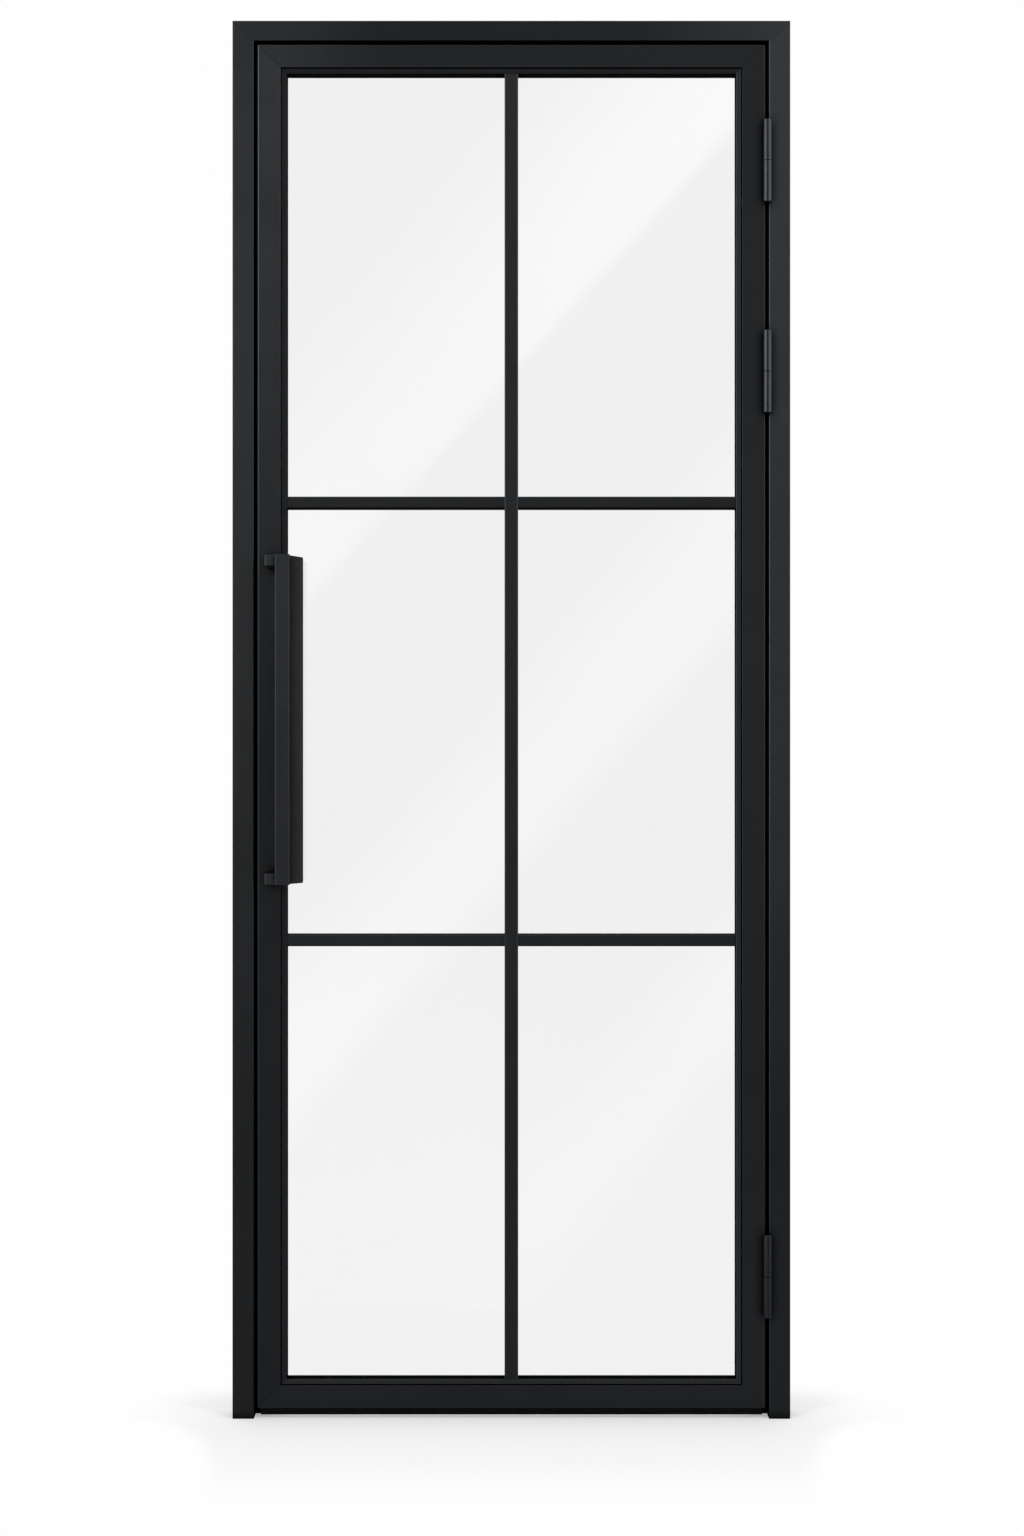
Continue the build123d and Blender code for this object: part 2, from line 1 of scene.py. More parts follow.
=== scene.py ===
import json
import math
import bpy
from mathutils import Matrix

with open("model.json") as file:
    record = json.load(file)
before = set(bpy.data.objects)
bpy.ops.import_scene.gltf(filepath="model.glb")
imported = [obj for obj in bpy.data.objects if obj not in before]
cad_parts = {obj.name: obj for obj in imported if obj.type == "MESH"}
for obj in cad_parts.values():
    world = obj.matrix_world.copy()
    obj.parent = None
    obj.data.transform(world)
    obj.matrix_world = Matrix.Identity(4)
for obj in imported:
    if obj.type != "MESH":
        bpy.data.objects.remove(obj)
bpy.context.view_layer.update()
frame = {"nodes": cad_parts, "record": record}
nodes = frame["nodes"]

# Camera: level, square to the door
CAMERA_PLACE = (0.00095, -3.400, 0.9775)
CAMERA_LENS = 53.06
SENSOR_WIDTH = 36.0
camera_data = bpy.data.cameras.new("camera")
camera_data.lens = CAMERA_LENS
camera_data.sensor_width = SENSOR_WIDTH
camera = bpy.data.objects.new("camera", camera_data)
camera.location = CAMERA_PLACE
camera.rotation_euler = (math.radians(90), 0, 0)
bpy.context.scene.collection.objects.link(camera)
bpy.context.scene.camera = camera

# The hairline where two mitred members meet: its shade, and how far from the mitre it starts and ends to fade
SEAM_SHADE = 0.68
SEAM_REACH = (0.0005, 0.0011)


# Node helpers

class Graph:
    """A short way to build a material's or the world's node tree."""

    def __init__(self, owner):
        owner.use_nodes = True
        self.tree = owner.node_tree
        self.tree.nodes.clear()

    def node(self, kind, settings=None, **inputs):
        made = self.tree.nodes.new(kind)
        for name, value in (settings or {}).items():
            setattr(made, name, value)
        for name, value in inputs.items():
            self.feed(made, name.replace("_", " "), value)
        return made

    def feed(self, node, name, value):
        """Link a socket to an input, or set its value. A number picks the input by its order."""
        socket = node.inputs[int(name)] if name.isdigit() else node.inputs[name]
        if isinstance(value, bpy.types.NodeSocket):
            self.tree.links.new(value, socket)
        else:
            socket.default_value = value

    def math(self, operation, first, second=0.0):
        made = self.node("ShaderNodeMath", {"operation": operation})
        self.feed(made, "0", first)
        self.feed(made, "1", second)
        return made.outputs[0]

    def spread(self, value, low, high, from_low=0.3, from_high=0.7):
        """Map a value onto a range. The default start is the range that noise fills."""
        made = self.node("ShaderNodeMapRange")
        self.feed(made, "Value", value)
        self.feed(made, "From Min", from_low)
        self.feed(made, "From Max", from_high)
        self.feed(made, "To Min", low)
        self.feed(made, "To Max", high)
        return made.outputs["Result"]

    def blend(self, factor, first, second):
        """Mix two colours."""
        made = self.node("ShaderNodeMix", {"data_type": "RGBA"})
        self.feed(made, "0", factor)
        self.feed(made, "6", first)
        self.feed(made, "7", second)
        return made.outputs[2]

    def choose(self, factor, first, second):
        """Mix two numbers."""
        made = self.node("ShaderNodeMix")
        self.feed(made, "0", factor)
        self.feed(made, "2", first)
        self.feed(made, "3", second)
        return made.outputs[0]

    def mix(self, factor, first, second):
        """Mix two shaders."""
        made = self.node("ShaderNodeMixShader")
        self.feed(made, "0", factor)
        self.feed(made, "1", first)
        self.feed(made, "2", second)
        return made.outputs[0]

    def add(self, first, second):
        """Add two shaders."""
        made = self.node("ShaderNodeAddShader")
        self.feed(made, "0", first)
        self.feed(made, "1", second)
        return made.outputs[0]

    def place(self, coordinates):
        """A kind of texture coordinate, split into X, Y and Z."""
        whole = self.node("ShaderNodeTexCoord").outputs[coordinates]
        return self.node("ShaderNodeSeparateXYZ", Vector=whole).outputs

    def noise(self, scale, detail, roughness, stretch=None):
        """Noise over the object's own coordinates, in metres."""
        place = self.node("ShaderNodeTexCoord").outputs["Object"]
        if stretch:
            place = self.node("ShaderNodeMapping", Vector=place, Scale=stretch).outputs["Vector"]
        made = self.node("ShaderNodeTexNoise", Vector=place, Scale=scale, Detail=detail, Roughness=roughness)
        return made.outputs["Fac"]

    def bump(self, height, distance, strength, under=None):
        made = self.node("ShaderNodeBump", Height=height, Distance=distance, Strength=strength)
        if under:
            self.feed(made, "Normal", under)
        return made.outputs["Normal"]

    def gloss(self, facing, side, side_end, facing_start):
        """One gloss for faces towards the room or the wall, and another for those across them: a lower side
        gloss is painted shade.
        """
        facing_y = self.math("ABSOLUTE", self.place("Normal")["Y"])
        return self.spread(facing_y, side, facing, side_end, facing_start)

    def along(self, measure, axis, stops):
        """A factor that runs through given values at given places: in metres, or as shares of the piece."""
        place = self.place(measure)[axis]
        total = stops[0][1]
        for (start, low), (end, high) in zip(stops, stops[1:]):
            total = self.math("ADD", total, self.spread(place, 0.0, high - low, start, end))
        return total

    def seam(self, half_width, top, bottom):
        """A hairline along the mitres of a frame with these outer edges: dark on it, one beside it."""
        place = self.place("Object")
        inwards = self.math("SUBTRACT", half_width, self.math("ABSOLUTE", place["X"]))
        down = self.math("SUBTRACT", top, place["Z"])
        up = self.math("SUBTRACT", place["Z"], bottom)
        from_top = self.math("ABSOLUTE", self.math("SUBTRACT", inwards, down))
        from_bottom = self.math("ABSOLUTE", self.math("SUBTRACT", inwards, up))
        return self.spread(self.math("MINIMUM", from_top, from_bottom), SEAM_SHADE, 1.0, *SEAM_REACH)

    def finish(self, shader, kind="ShaderNodeOutputMaterial"):
        self.node(kind, Surface=shader)


def grey(level, blue=1.0):
    return (level, level, level * blue, 1.0)


WHITE = grey(1.0)
COOL_RED = 0.94
COOL_BLUE = 1.09


def cool(level):
    """A black with the faint blue of the photographed coat."""
    return (level * COOL_RED, level, level * COOL_BLUE, 1.0)


# Powder coat

COAT_SPECULAR_TINT = (0.95, 1.0, 1.07, 1.0)
# How the shade and the roughness wander, and how the specks of the grain stand out
CLOUD_DARK = 0.9
CLOUD_LIGHT = 1.1
CLOUD_ROUGHNESS = 0.05
SPECK_LIGHT = 2.0
SPECK_SHARE = 0.35
SPECK_ROUGHNESS = (-0.04, 0.05)
PEEL_DEPTH = 1.3
# Each grain by how many specks it has a metre, and their depth
MEMBER_GRAIN = (1100.0, 0.00006)
BAR_GRAIN = (1200.0, 0.00004)
HANDLE_GRAIN = (1300.0, 0.00004)
HINGE_GRAIN = (1500.0, 0.00001)
# How squarely a face looks at the room or the wall where its side gloss ends and its facing gloss starts. The
# lower side gloss is painted shade on the faces across them, as in the gaps and on the grip's wing.
FACING = (0.35, 0.75)
GRIP_FACING = (0.50, 0.95)
# Painted contact shade: its reach, how much gloss and colour it leaves, and the openness where it starts and
# ends
CONTACT_REACH = 0.016
CONTACT_SHADE = 0.10
CONTACT_COLOUR = 0.2
CONTACT_OPENNESS = (0.45, 0.97)
CONTACT_SAMPLES = 8


def coat(name, shade, rough, grain, facing_gloss, side_gloss=0.0, painted_light_ramps=(), facing=FACING, edges=None):
    """A powder coat: fine grain over a soft orange peel, on near-black.

    Each painted-light ramp varies the gloss along the piece, as painted highlight and painted shade, and
    edges are the outer ones of the frame it is mitred in.
    """
    material = bpy.data.materials.new(name)
    g = Graph(material)
    grain_scale, grain_depth = grain
    cloud = g.noise(scale=9.0, detail=4.0, roughness=0.55)
    speck = g.noise(scale=grain_scale, detail=2.0, roughness=0.6)
    peel = g.noise(scale=260.0, detail=1.5, roughness=0.4)
    colour = g.blend(g.spread(cloud, 0.0, 1.0), cool(shade * CLOUD_DARK), cool(shade * CLOUD_LIGHT))
    colour = g.blend(g.spread(speck, 0.0, SPECK_SHARE), colour, cool(shade * SPECK_LIGHT))
    cloud_roughness = g.spread(cloud, rough - CLOUD_ROUGHNESS, rough + CLOUD_ROUGHNESS)
    roughness = g.math("ADD", cloud_roughness, g.spread(speck, *SPECK_ROUGHNESS))
    peel_normal = g.bump(peel, distance=grain_depth * PEEL_DEPTH, strength=0.5)
    normal = g.bump(speck, distance=grain_depth, strength=0.6, under=peel_normal)
    level = g.gloss(facing_gloss, side_gloss, *facing)
    # Painted light: each ramp makes the gloss stronger or weaker along the piece where the studio light falls
    # stronger or weaker
    for measure, axis, stops in painted_light_ramps:
        level = g.math("MULTIPLY", level, g.along(measure, axis, stops))
    # Beside a hinge, under a stand-off and in the grooves the coat sees less light, so an occlusion test
    # darkens its colour and gloss there as painted shade. The mitre hairline, a dark joint, is multiplied in
    # the same way.
    contact = g.node("ShaderNodeAmbientOcclusion", {"samples": CONTACT_SAMPLES}, Distance=CONTACT_REACH)
    openness = g.spread(contact.outputs["AO"], CONTACT_SHADE, 1.0, *CONTACT_OPENNESS)
    if edges:
        openness = g.math("MULTIPLY", openness, g.seam(*edges))
    shader = g.node(
        "ShaderNodeBsdfPrincipled",
        Base_Color=g.blend(openness, cool(shade * CONTACT_COLOUR), colour),
        Roughness=roughness,
        Specular_IOR_Level=g.math("MULTIPLY", level, openness),
        Specular_Tint=COAT_SPECULAR_TINT,
        Normal=normal,
    )
    g.finish(shader.outputs[0])
    return material


# The other materials

def rubber(name):
    """Matt extruded rubber with a faint bloom and fine pores."""
    material = bpy.data.materials.new(name)
    g = Graph(material)
    bloom = g.noise(scale=35.0, detail=4.0, roughness=0.6)
    pores = g.noise(scale=1600.0, detail=1.0, roughness=0.5)
    shader = g.node(
        "ShaderNodeBsdfPrincipled",
        Base_Color=g.blend(g.spread(bloom, 0.0, 1.0), grey(0.003), grey(0.007)),
        Roughness=g.spread(bloom, 0.62, 0.82),
        Specular_IOR_Level=0.02,
        Normal=g.bump(pores, distance=0.00004, strength=0.5),
    )
    g.finish(shader.outputs[0])
    return material


STEEL_BLUE = 1.02


def metal(name, low, high, rough_low, rough_high, stretch, scratch_depth):
    """Steel with a fine grain, which a stretch turns into the lines of drawing."""
    material = bpy.data.materials.new(name)
    g = Graph(material)
    cloud = g.noise(scale=60.0, detail=3.0, roughness=0.5)
    lines = g.noise(scale=500.0, detail=3.0, roughness=0.6, stretch=stretch)
    shader = g.node(
        "ShaderNodeBsdfPrincipled",
        Base_Color=g.blend(g.spread(lines, 0.0, 1.0), grey(low, STEEL_BLUE), grey(high, STEEL_BLUE)),
        Metallic=1.0,
        Roughness=g.math("ADD", g.spread(cloud, rough_low, rough_high), g.spread(lines, -0.05, 0.05)),
        Normal=g.bump(lines, distance=scratch_depth, strength=0.5),
    )
    g.finish(shader.outputs[0])
    return material


def plastic(name, low, high, rough_low, rough_high, specular):
    """Moulded plastic or an anodised skin, with a fine eroded texture."""
    material = bpy.data.materials.new(name)
    g = Graph(material)
    cloud = g.noise(scale=80.0, detail=3.0, roughness=0.5)
    spark = g.noise(scale=1400.0, detail=2.0, roughness=0.6)
    shader = g.node(
        "ShaderNodeBsdfPrincipled",
        Base_Color=g.blend(g.spread(cloud, 0.0, 1.0), grey(low), grey(high)),
        Roughness=g.spread(cloud, rough_low, rough_high),
        Specular_IOR_Level=specular,
        Normal=g.bump(spark, distance=0.00003, strength=0.6),
    )
    g.finish(shader.outputs[0])
    return material


GLASS_TINT = (0.902, 0.905, 0.904, 1.0)
GLASS_DUSTY = grey(0.904)
GLASS_PASS = (0.87, 0.872, 0.871, 1.0)
GLASS_IOR = 1.5


def glass(name):
    """Toughened float glass: faint roller wave, and a trace of dust in the roughness."""
    material = bpy.data.materials.new(name)
    g = Graph(material)
    wave = g.noise(scale=5.0, detail=1.0, roughness=0.4, stretch=(1.0, 1.0, 0.35))
    dust = g.noise(scale=14.0, detail=4.0, roughness=0.6)
    shader = g.node(
        "ShaderNodeBsdfPrincipled",
        Base_Color=g.blend(g.spread(dust, 0.0, 1.0), GLASS_TINT, GLASS_DUSTY),
        Roughness=g.spread(dust, 0.0, 0.012),
        IOR=GLASS_IOR,
        Transmission_Weight=1.0,
        Normal=g.bump(wave, distance=0.0004, strength=0.25),
    )
    # Light on its way to other things passes straight through
    clear = g.node("ShaderNodeBsdfTransparent", Color=GLASS_PASS)
    path = g.node("ShaderNodeLightPath").outputs
    indirect = g.math("MAXIMUM", path["Is Shadow Ray"], path["Is Diffuse Ray"])
    g.finish(g.mix(indirect, shader.outputs[0], clear.outputs[0]))
    return material


# Outer edges that the mitres run in from: half width, top and bottom. The frame has no mitre at its feet.
NO_LOWER_MITRE = -1.0
FRAME_EDGES = (0.419, 2.100, NO_LOWER_MITRE)
LEAF_EDGES = (0.381, 2.064, 0.016)

METRES = "Object"
SHARES = "Generated"
# Each coat by how the names of its pieces start. The first match counts, so the general ones come last.
# All coats are one black powder coat in lit and shaded copies. Each piece's shade, its gloss and its ramps,
# by height
# and across, are set to how the studio light falls on it: painted light and painted shade.
COATS = {
    "jamb_left": coat("coat_jamb_left", 0.0064, 0.36, MEMBER_GRAIN, 0.39, painted_light_ramps=(
        (METRES, "Z", ((0.4, 0.43), (1.0, 0.95), (1.9, 1.02))),
    ), edges=FRAME_EDGES),
    "jamb_right": coat("coat_jamb_right", 0.0066, 0.36, MEMBER_GRAIN, 0.40, painted_light_ramps=(
        (METRES, "Z", ((0.4, 0.48), (1.0, 1.20), (1.9, 1.18))),
        # Painted highlight along the jamb's inner edge
        (METRES, "X", ((0.3885, 1.5), (0.3895, 1.0))),
    ), edges=FRAME_EDGES),
    "frame_head": coat("coat_head", 0.0070, 0.37, MEMBER_GRAIN, 0.24, painted_light_ramps=(
        (METRES, "X", ((-0.42, 1.60), (-0.20, 0.69), (0.20, 0.69), (0.42, 1.80))),
    ), edges=FRAME_EDGES),
    "stile_left": coat("coat_stile_left", 0.0070, 0.36, MEMBER_GRAIN, 0.40, painted_light_ramps=(
        (METRES, "Z", ((0.4, 0.38), (1.1, 0.55), (1.5, 0.80), (2.0, 1.12))),
        # Painted highlight along the leaf's left edge
        (METRES, "X", ((-0.3795, 2.0), (-0.3785, 1.0))),
    ), edges=LEAF_EDGES),
    "stile_right": coat("coat_stile_right", 0.0074, 0.37, MEMBER_GRAIN, 0.25, painted_light_ramps=(
        (METRES, "Z", ((0.4, 0.74), (1.1, 1.07), (1.9, 0.72))),
        # Painted highlight along the leaf's right edge
        (METRES, "X", ((0.3785, 1.0), (0.3795, 1.5))),
    ), edges=LEAF_EDGES),
    "rail_top": coat("coat_rail_top", 0.0072, 0.37, MEMBER_GRAIN, 0.25, painted_light_ramps=(
        (METRES, "X", ((-0.38, 1.60), (-0.20, 0.71), (0.20, 0.69), (0.38, 0.76))),
    ), edges=LEAF_EDGES),
    "rail_bottom": coat("coat_rail_bottom", 0.0072, 0.37, MEMBER_GRAIN, 0.19, edges=LEAF_EDGES),
    "bead_top": coat("coat_bead_top", 0.0064, 0.34, BAR_GRAIN, 0.14),
    "bead_left": coat("coat_bead_left", 0.0065, 0.34, BAR_GRAIN, 0.16),
    "bead_bottom": coat("coat_bead_bottom", 0.0076, 0.34, BAR_GRAIN, 0.33),
    "bead_": coat("coat_beads", 0.0072, 0.34, BAR_GRAIN, 0.32),
    "upright_": coat("coat_upright_bars", 0.0068, 0.34, BAR_GRAIN, 0.31, painted_light_ramps=(
        (METRES, "Z", ((0.4, 0.64), (1.1, 0.92), (1.9, 0.88))),
        # Painted highlights along both side edges of each bar
        (SHARES, "X", ((0.08, 1.6), (0.12, 1.0), (0.88, 1.0), (0.92, 1.8))),
    )),
    "crossbar_": coat("coat_crossbars", 0.0062, 0.34, BAR_GRAIN, 0.27, painted_light_ramps=(
        (METRES, "X", ((-0.30, 1.0), (0.30, 0.86))),
        # Painted shade along each bar's lower edge, and painted highlight along its upper one
        (SHARES, "Z", ((0.10, 0.0), (0.14, 1.0), (0.86, 1.0), (0.90, 1.5))),
    )),
    "hinge_": coat("coat_hinges", 0.0052, 0.20, HINGE_GRAIN, 0.36, side_gloss=0.36, painted_light_ramps=(
        (METRES, "Z", ((0.3, 0.75), (1.7, 1.0))),
    )),
    "handle_grip": coat("coat_handle", 0.0066, 0.30, HANDLE_GRAIN, 0.42, side_gloss=0.10, painted_light_ramps=(
        # Painted shade at the root of the wing, fading out along it
        (METRES, "X", ((-0.3285, 1.0), (-0.3275, 0.15), (-0.3110, 0.95))),
        # Painted shade: less gloss lower down the grip
        (METRES, "Z", ((0.85, 0.84), (1.10, 0.96))),
    ), facing=GRIP_FACING),
    "handle_": coat("coat_standoffs", 0.0070, 0.30, HANDLE_GRAIN, 0.52, side_gloss=0.02),
    "": coat("black_powder_coat", 0.0074, 0.37, MEMBER_GRAIN, 0.25, side_gloss=0.02),
}
ALONG_Z = (1.0, 1.0, 0.04)
NO_STRETCH = (1.0, 1.0, 1.0)
BY_SLOT = {
    "clear_glass": glass("clear_glass"),
    "black_rubber": rubber("black_rubber"),
    "bright_steel": metal("bright_steel", 0.42, 0.60, 0.22, 0.34, ALONG_Z, 0.00002),
    "blackened_steel": metal("blackened_steel", 0.035, 0.065, 0.35, 0.50, NO_STRETCH, 0.00003),
    # The hinge washers and the seal carrier under the leaf are near-black with little gloss: partly their own
    # black,
    # partly painted shade of the seam and the recess that they sit in.
    "bearing_plastic": plastic("bearing_plastic", 0.002, 0.004, 0.45, 0.6, specular=0.05),
    "black_plastic": plastic("black_plastic", 0.012, 0.020, 0.45, 0.6, specular=0.4),
    "black_aluminium": plastic("black_aluminium", 0.002, 0.004, 0.45, 0.55, specular=0.05),
}


def finish_for(node, slot):
    if slot == "black_powder_coat":
        return next(made for start, made in COATS.items() if node.startswith(start))
    # Bright clips would glint through the beads' shadow groove
    if node in ("bead_clips", "cover_clips"):
        return BY_SLOT["blackened_steel"]
    return BY_SLOT[slot]


# Softened edges, by how the names of the pieces start. The hinges' round knuckles keep their CAD faces,
# because joined ones gave them patchy highlights.
BEAD_ROUNDING = 0.0003
EDGE_ROUNDING = {
    "handle_grip": 0.0008,
    "handle_standoff": 0.0008,
    "crossbar_cover": 0.0004,
    "upright_cover": 0.0004,
    "bead_left": BEAD_ROUNDING,
    "bead_right": BEAD_ROUNDING,
    "bead_top": BEAD_ROUNDING,
    "bead_bottom": BEAD_ROUNDING,
    "pane_": 0.0010,
    "hinge_washers": 0.0003,
    "bottom_seal_carrier": 0.0004,
}
EDGE_ANGLE = math.radians(32)
EDGE_SEGMENTS = 2
WELD_DISTANCE = 0.00001


def round_edges(node, obj):
    """Join the CAD faces along their edges, then round those edges."""
    for start, width in EDGE_ROUNDING.items():
        if node.startswith(start):
            join = obj.modifiers.new("weld", "WELD")
            join.merge_threshold = WELD_DISTANCE
            bevel = obj.modifiers.new("edge", "BEVEL")
            bevel.width = width
            bevel.segments = EDGE_SEGMENTS
            bevel.limit_method = "ANGLE"
            bevel.angle_limit = EDGE_ANGLE
            bevel.harden_normals = True
            return


for row in frame["record"]["subparts"]:
    obj = nodes[row["node"]]
    obj.data.materials.clear()
    obj.data.materials.append(finish_for(row["node"], row["material_slot"]))
    round_edges(row["node"], obj)


# Studio

def quad(name, corners, material):
    """A flat sheet of the stage, given by its four corners."""
    mesh = bpy.data.meshes.new(name)
    mesh.from_pydata(corners, [], [(0, 1, 2, 3)])
    mesh.materials.append(material)
    sheet = bpy.data.objects.new(name, mesh)
    bpy.context.scene.collection.objects.link(sheet)
    return sheet


# What the camera sees of the background, straight or through the glass
SEEN_LEVEL = 0.992

# Floor: it starts in front of the door, and is lit paper near it
FLOOR_FRONT = -0.66
FLOOR_SIDE = 9.0
FLOOR_BACK = 14.0
FLOOR_GLOW = 0.353
FLOOR_COLOUR = 0.95
FLOOR_FLECK = 1.01
FLOOR_REFLECTED = 0.30
FLOOR_REFLECTED_GLOW = 0.33
# The lit floor holds the door's shadow. It fades out between these distances from the door's foot, and
# sooner to its sides, above all in front of the door.
SHADOW_NEAR = 0.18
SHADOW_FAR = 0.42
SHADOW_HALF_WIDTH = 0.40
SHADOW_QUICKER = 2.0
SHADOW_NARROWER = 30.0


def shadow_fade(g):
    """Zero near the door's foot, and one where the floor is the plain background."""
    spot = g.place("Object")
    beside = g.math("SUBTRACT", g.math("ABSOLUTE", spot["X"]), SHADOW_HALF_WIDTH)
    ahead = g.math("MAXIMUM", g.math("MULTIPLY", spot["Y"], -1.0), 0.0)
    quicker = g.math("ADD", g.math("MULTIPLY", ahead, SHADOW_NARROWER), SHADOW_QUICKER)
    beside = g.math("MULTIPLY", g.math("MAXIMUM", beside, 0.0), quicker)
    back = g.math("MULTIPLY", g.math("MAXIMUM", spot["Y"], 0.0), SHADOW_QUICKER)
    square = g.math("ADD", g.math("POWER", beside, 2.0), g.math("POWER", g.math("ADD", ahead, back), 2.0))
    farness = g.spread(g.math("SQRT", square), 0.0, 1.0, SHADOW_NEAR, SHADOW_FAR)
    farness.node.interpolation_type = "SMOOTHSTEP"
    return farness


def floor_material():
    """Lit paper near the door, which turns into the plain background away from it and through its glass."""
    material = bpy.data.materials.new("floor")
    g = Graph(material)
    path = g.node("ShaderNodeLightPath").outputs
    through = path["Is Transmission Ray"]
    reflected = g.math("MULTIPLY", path["Is Glossy Ray"], g.math("SUBTRACT", 1.0, through))
    paper = g.noise(scale=3.0, detail=3.0, roughness=0.5)
    colour = g.blend(paper, grey(FLOOR_COLOUR), grey(FLOOR_COLOUR * FLOOR_FLECK))
    colour = g.blend(reflected, colour, grey(FLOOR_REFLECTED))
    diffuse = g.node("ShaderNodeBsdfDiffuse", Color=colour)
    glow_strength = g.spread(reflected, FLOOR_GLOW, FLOOR_REFLECTED_GLOW, 0.0, 1.0)
    glow = g.node("ShaderNodeEmission", Color=WHITE, Strength=glow_strength)
    near = g.add(diffuse.outputs[0], glow.outputs[0])
    far = g.node("ShaderNodeEmission", Color=WHITE, Strength=SEEN_LEVEL)
    seen_fade = g.math("MULTIPLY", shadow_fade(g), g.math("SUBTRACT", 1.0, reflected))
    g.finish(g.mix(g.math("MAXIMUM", seen_fade, through), near, far.outputs[0]))
    return material


quad(
    "floor",
    [
        (-FLOOR_SIDE, FLOOR_FRONT, 0),
        (FLOOR_SIDE, FLOOR_FRONT, 0),
        (FLOOR_SIDE, FLOOR_BACK, 0),
        (-FLOOR_SIDE, FLOOR_BACK, 0),
    ],
    floor_material(),
)

# How bright the world is for diffuse light
DIFFUSE_LEVEL = 0.55


def studio_world():
    """White behind the door; in front a dim studio that is lighter above and to the sides."""
    world = bpy.data.worlds.new("studio")
    g = Graph(world)
    direction = g.place("Generated")
    height = direction["Z"]
    leftwards = g.math("MULTIPLY", direction["X"], -1.0)
    levels = (
        g.spread(height, low=0.04, high=0.15, from_low=-0.27, from_high=0.0),
        g.spread(height, low=0.0, high=0.20, from_low=0.0, from_high=0.35),
        g.spread(leftwards, low=0.0, high=3.6, from_low=0.55, from_high=0.9),
        g.spread(direction["X"], low=0.0, high=2.6, from_low=0.55, from_high=0.9),
        g.spread(height, low=0.0, high=1.0, from_low=0.45, from_high=0.8),
    )
    front_level = levels[0]
    for level in levels[1:]:
        front_level = g.math("ADD", front_level, level)
    behind = g.spread(direction["Y"], low=0.0, high=0.8, from_low=-0.25, from_high=0.05)
    beyond = g.math("MULTIPLY", behind, g.math("SUBTRACT", 1.0, front_level))
    glossy_level = g.math("ADD", beyond, front_level)
    path = g.node("ShaderNodeLightPath").outputs
    seen = g.math("MAXIMUM", path["Is Camera Ray"], path["Is Transmission Ray"])
    unseen_level = g.choose(path["Is Glossy Ray"], DIFFUSE_LEVEL, glossy_level)
    strength = g.choose(seen, unseen_level, SEEN_LEVEL)
    background = g.node("ShaderNodeBackground", Color=WHITE, Strength=strength)
    g.finish(background.outputs[0], "ShaderNodeOutputWorld")
    return world


bpy.context.scene.world = studio_world()


def softbox(name, place, target, width, height, radiance):
    """An area lamp facing a point, given by its brightness."""
    lamp = bpy.data.lights.new(name, "AREA")
    lamp.shape = "RECTANGLE"
    lamp.size = width
    lamp.size_y = height
    lamp.energy = radiance * math.pi * width * height
    box = bpy.data.objects.new(name, lamp)
    box.location = place
    aim = [t - p for t, p in zip(target, place)]
    yaw = math.atan2(aim[1], aim[0])
    pitch = math.atan2(aim[2], math.hypot(aim[0], aim[1]))
    box.rotation_euler = (math.radians(90) + pitch, 0, yaw - math.radians(90))
    bpy.context.scene.collection.objects.link(box)


softbox("softbox_top", (0.0, -2.2, 3.3), (0, 0, 1.0), width=1.3, height=0.35, radiance=1.5)
softbox("softbox_left", (-1.9, -2.4, 2.4), (-0.3, 0, 1.9), width=0.45, height=1.3, radiance=8.5)
softbox("softbox_right", (2.1, -2.3, 2.4), (0.3, 0, 1.9), width=0.45, height=1.3, radiance=7.5)

# Light strips whose reflections cross the glass, seen in reflections only
STRIP_DISTANCE = 4.6
STRIP_STEP = 0.05
GLASS_PLANE = 0.020
CAMERA_TO_GLASS = GLASS_PLANE - CAMERA_PLACE[1]
# The point of the door that a strip behind the camera is laid out about
SIGHT_X = 0.001
SIGHT_Z = CAMERA_PLACE[2]
# Where a strip's glow changes from that of its left end, as shares of its length
STRIP_END_FADE = (0.42, 0.80)
STRIP_CLOUD = (0.85, 1.12)


def mirrored(x, z, distance):
    """The place behind the camera that the glass shows at a point of the door."""
    ratio = (distance + GLASS_PLANE + CAMERA_TO_GLASS) / CAMERA_TO_GLASS
    return (SIGHT_X + (x - SIGHT_X) * ratio, -distance, SIGHT_Z + (z - SIGHT_Z) * ratio)


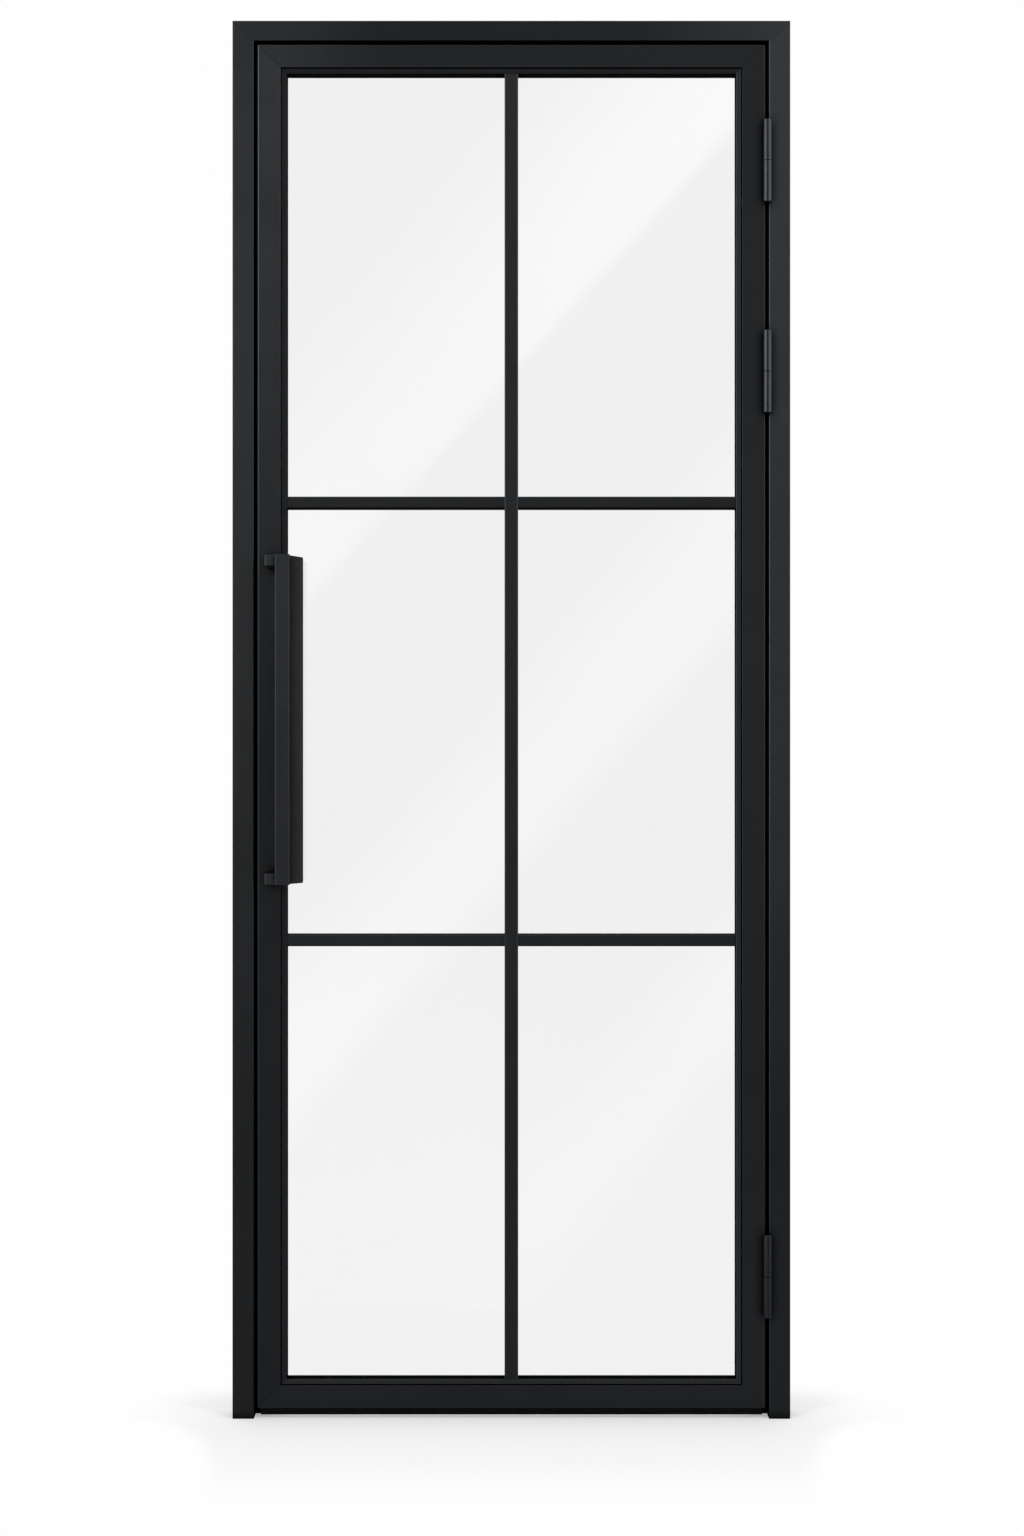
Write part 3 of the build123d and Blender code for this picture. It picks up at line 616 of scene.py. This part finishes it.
def strip_material(name, glow, rise, hold, left_end):
    """A lamp that is sharper along its lower edge than along its upper one."""
    material = bpy.data.materials.new(name)
    g = Graph(material)
    place = g.node("ShaderNodeSeparateXYZ", Vector=g.node("ShaderNodeUVMap").outputs["UV"]).outputs
    lower = g.spread(place["Y"], 0.0, 1.0, 0.0, rise)
    upper = g.spread(place["Y"], glow, 0.0, hold, 1.0)
    for fade in (lower, upper):
        fade.node.interpolation_type = "SMOOTHSTEP"
    strength = g.math("MULTIPLY", lower, upper)
    strength = g.math("MULTIPLY", strength, g.spread(place["X"], left_end, 1.0, *STRIP_END_FADE))
    cloud = g.noise(scale=1.1, detail=2.0, roughness=0.5)
    strength = g.math("MULTIPLY", strength, g.spread(cloud, *STRIP_CLOUD))
    lamp = g.node("ShaderNodeEmission", Color=WHITE, Strength=strength)
    clear = g.node("ShaderNodeBsdfTransparent")
    g.finish(g.add(lamp.outputs[0], clear.outputs[0]))
    return material


def light_strip(name, corners, distance, material):
    strip = quad(name, [mirrored(x, z, distance) for x, z in corners], material)
    layer = strip.data.uv_layers.new(name="across")
    for loop, place in zip(layer.data, ((0, 0), (1, 0), (1, 1), (0, 1))):
        loop.uv = place
    strip.visible_camera = False
    strip.visible_diffuse = False
    strip.visible_transmission = False
    strip.visible_shadow = False


BAND_LEFT = -0.60
BAND_RIGHT = 0.55
# Each band by where it crosses the door: the heights of its lower edge at the left and at the right, and its
# width up. Then come its glow, the shares of that width where it is fully lit and where it starts to fade,
# and how bright its left end is against its right one.
BANDS = (
    ("strip_upper", 0.880, 2.152, 0.50, 1.74, 0.11, 0.22, 0.80),
    ("strip_middle", 0.075, 1.385, 0.42, 1.25, 0.28, 0.42, 0.88),
    ("strip_lower", -0.575, 0.740, 0.34, 0.95, 0.33, 0.50, 0.0),
    ("strip_foot", -0.700, -0.700, 1.60, 0.55, 0.50, 0.60, 1.36),
)
# The bands overlap, so each strip hangs a step behind the one before
for order, (strip_name, left_z, right_z, width_up, *look) in enumerate(BANDS):
    strip_corners = (
        (BAND_LEFT, left_z),
        (BAND_RIGHT, right_z),
        (BAND_RIGHT, right_z + width_up),
        (BAND_LEFT, left_z + width_up),
    )
    made = strip_material(strip_name, *look)
    light_strip(strip_name, strip_corners, STRIP_DISTANCE + order * STRIP_STEP, made)

view = bpy.context.scene.view_settings
view.view_transform = "Standard"
